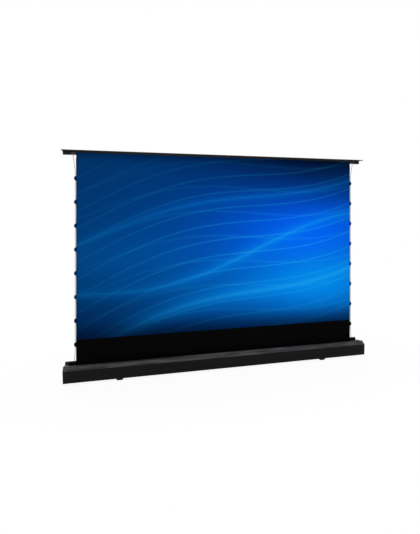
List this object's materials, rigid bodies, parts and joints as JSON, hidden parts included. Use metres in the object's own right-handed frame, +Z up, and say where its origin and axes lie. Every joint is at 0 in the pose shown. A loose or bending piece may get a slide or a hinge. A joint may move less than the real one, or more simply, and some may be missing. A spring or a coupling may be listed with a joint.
{
  "type": "projection screen",
  "caption": "Floor-rising projection screen: a cloth kept taut by edge cords rises from a low roller case to a lid-like top bar on folding sprung arms.",
  "frame": {"origin": "on the floor, at the middle of the footprint", "axes": "+X along the case to the viewer's right, +Z up; the picture faces -Y"},
  "size_m": [2.41, 0.22, 1.6475],
  "materials": {
    "cover_paint": "extruded, satin black coating",
    "base_paint": "extruded, matt black coating",
    "cap_plastic": "moulded, lightly textured",
    "bar_paint": "extruded, satin black coating",
    "bar_plastic": "moulded",
    "anchor_plastic": "moulded",
    "arm_paint": "satin black powder coat",
    "fork_steel": "pressed steel, black plated",
    "pin_steel": "turned",
    "tube_aluminium": "mill finish",
    "motor_steel": "drawn tube",
    "wheel_plastic": "moulded",
    "cloth_print": "smooth matt coating with a blue picture on it",
    "cloth_black": "smooth matt black coating",
    "cord": "braided",
    "foot_paint": "matt black powder coat",
    "rubber": "moulded",
    "control_plastic": "moulded"
  },
  "bodies": {
    "case": {"case_front": "cover_paint", "case_base": "base_paint", "case_back": "base_paint", "end_cap_left": "cap_plastic", "end_cap_right": "cap_plastic", "roller_bracket_left": "fork_steel", "roller_bracket_right": "fork_steel", "motor_tube": "motor_steel", "motor_head": "control_plastic", "idler_pin": "pin_steel", "control_box": "control_plastic", "power_inlet": "control_plastic", "screen_cloth": "cloth_print", "tension_cord_left": "cord", "tension_cord_right": "cord", "shoulder_fork_left": "fork_steel", "shoulder_fork_right": "fork_steel", "shoulder_pin_left": "pin_steel", "shoulder_pin_right": "pin_steel", "foot_bolt_left": "pin_steel", "foot_bolt_right": "pin_steel"},
    "roller": {"roller_tube": "tube_aluminium", "cloth_roll": "cloth_black", "crown_wheel": "wheel_plastic", "drive_wheel": "wheel_plastic", "idler_plug": "wheel_plastic", "idler_bush": "pin_steel"},
    "lower_arm_left": {"lower_arm_tube_left": "arm_paint", "shoulder_eye_left": "fork_steel", "lower_elbow_eye_left": "fork_steel", "lift_spring_left": "pin_steel", "elbow_pin_left": "pin_steel", "elbow_spacer_left": "wheel_plastic"},
    "upper_arm_left": {"upper_arm_tube_left": "arm_paint", "upper_elbow_eye_left": "fork_steel", "top_eye_left": "fork_steel"},
    "top_bar": {"lid_plate": "bar_paint", "bar_body": "bar_paint", "cloth_clamp": "bar_paint", "bar_end_left": "bar_plastic", "bar_end_right": "bar_plastic", "cord_anchor_left": "anchor_plastic", "cord_anchor_right": "anchor_plastic", "top_fork_left": "fork_steel", "top_fork_right": "fork_steel", "top_pin_left": "pin_steel", "top_pin_right": "pin_steel"},
    "lower_arm_right": {"lower_arm_tube_right": "arm_paint", "shoulder_eye_right": "fork_steel", "lower_elbow_eye_right": "fork_steel", "lift_spring_right": "pin_steel", "elbow_pin_right": "pin_steel", "elbow_spacer_right": "wheel_plastic"},
    "upper_arm_right": {"upper_arm_tube_right": "arm_paint", "upper_elbow_eye_right": "fork_steel", "top_eye_right": "fork_steel"},
    "foot_left": {"foot_left": "foot_paint", "foot_pad_left": "rubber"},
    "foot_right": {"foot_right": "foot_paint", "foot_pad_right": "rubber"}
  },
  "joints": [
    {"name": "left_shoulder_fold", "type": "hinge", "parent": "case", "child": "lower_arm_left", "pos_m": [-1.04, 0.005, 0.0384], "axis": [0, 1, 0], "range_deg": [0, 65.95], "stiffness_Nm_per_rad": 80, "springref_deg": -51.57, "deforming": ["screen_cloth", "tension_cord_left", "tension_cord_right"]},
    {"name": "left_elbow", "type": "hinge", "parent": "lower_arm_left", "child": "upper_arm_left", "pos_m": [-0.70885, -0.002, 0.81855], "axis": [0, -1, 0], "range_deg": [0, 131.9]},
    {"name": "left_top_pivot", "type": "hinge", "parent": "upper_arm_left", "child": "top_bar", "pos_m": [-1.04, -0.01, 1.5987], "axis": [0, 1, 0], "range_deg": [0, 65.95]},
    {"name": "right_shoulder_fold", "type": "hinge", "parent": "case", "child": "lower_arm_right", "pos_m": [1.04, 0.005, 0.0384], "axis": [0, -1, 0], "range_deg": [0, 65.95]},
    {"name": "right_elbow", "type": "hinge", "parent": "lower_arm_right", "child": "upper_arm_right", "pos_m": [0.70885, -0.002, 0.81855], "axis": [0, 1, 0], "range_deg": [0, 131.9]},
    {"name": "roller_spin", "type": "hinge", "parent": "case", "child": "roller", "pos_m": [0, -0.0533, 0.062], "axis": [-1, 0, 0], "range_deg": [0, 2632]},
    {"name": "left_foot_swivel", "type": "hinge", "parent": "case", "child": "foot_left", "pos_m": [-0.802, -0.04, 0.0033], "axis": [0, 0, -1], "range_deg": [0, 90]},
    {"name": "right_foot_swivel", "type": "hinge", "parent": "case", "child": "foot_right", "pos_m": [0.802, -0.04, 0.0033], "axis": [0, 0, 1], "range_deg": [0, 90]}
  ],
  "couplings": [
    {"joint": "left_elbow", "follows": "left_shoulder_fold", "ratio": 2},
    {"joint": "left_top_pivot", "follows": "left_shoulder_fold", "ratio": 1},
    {"joint": "right_shoulder_fold", "follows": "left_shoulder_fold", "ratio": 1},
    {"joint": "right_elbow", "follows": "left_shoulder_fold", "ratio": 2},
    {"joint": "roller_spin", "follows": "left_shoulder_fold", "ratio": 39.897}
  ]
}
